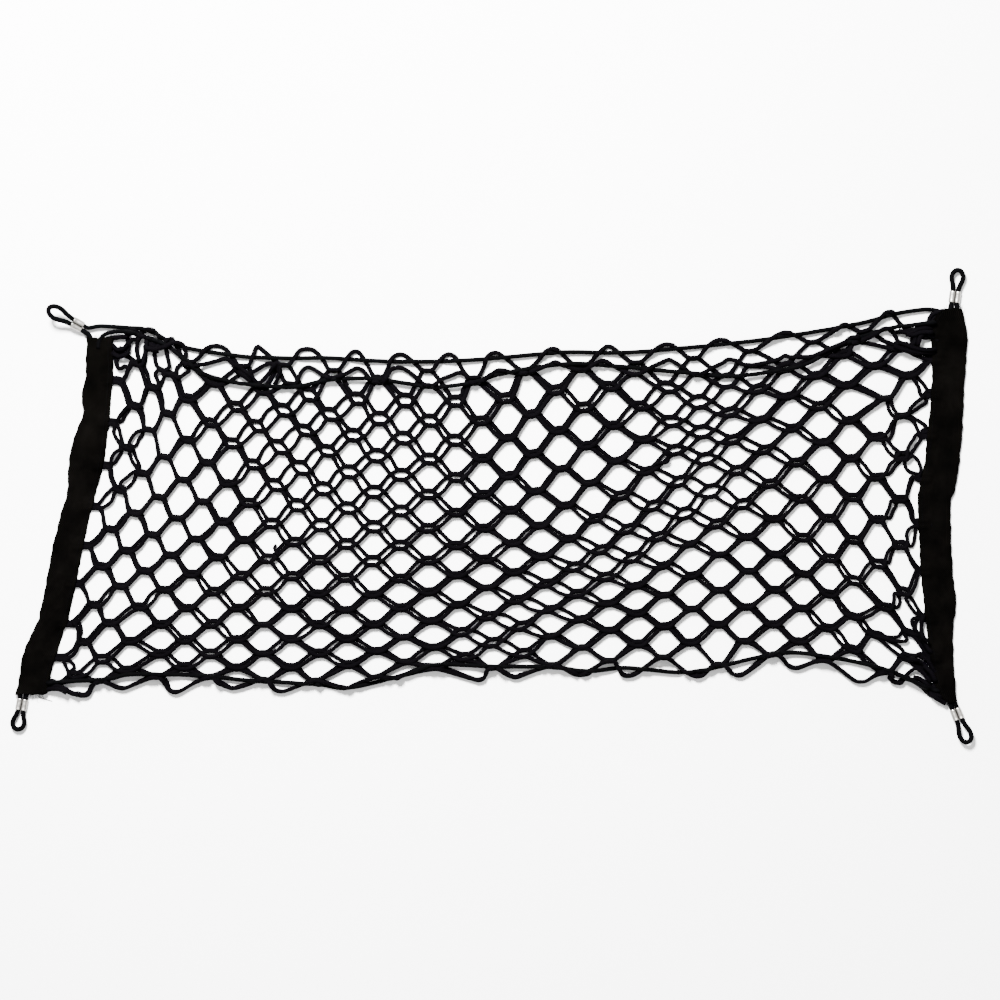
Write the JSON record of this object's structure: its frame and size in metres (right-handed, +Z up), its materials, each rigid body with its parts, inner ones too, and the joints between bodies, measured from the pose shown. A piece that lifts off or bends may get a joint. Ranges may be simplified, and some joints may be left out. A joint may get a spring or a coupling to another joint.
{
  "type": "cargo net",
  "caption": "Rectangular envelope cargo net of black knotless mesh, with folded webbing side bands, cord threaded along its long edges and a crimped hook loop at each corner.",
  "frame": {"origin": "middle of the box round the whole net, on the surface it lies on", "axes": "+X along the net from the left band to the right band, +Y towards the open mouth, +Z up from the surface"},
  "size_m": [0.9601, 0.4742, 0.0218],
  "materials": {
    "net": "matte knitted polyester strands, near black",
    "cord": "braided sleeve over elastic, near black, slight sheen",
    "webbing": "matte woven tape, near black",
    "crimp": "pressed metal, bright and slightly worn"
  },
  "bodies": {
    "root": {"side_band_left": "webbing", "side_band_right": "webbing", "net_back_panel": "net", "net_front_panel": "net", "edge_cord_back": "cord", "edge_cord_front": "cord", "edge_cord_bottom": "cord", "corner_loop_top_left": "cord", "corner_loop_top_right": "cord", "corner_loop_bottom_left": "cord", "corner_loop_bottom_right": "cord", "crimp_top_left": "crimp", "crimp_top_right": "crimp", "crimp_bottom_left": "crimp", "crimp_bottom_right": "crimp"}
  },
  "joints": []
}
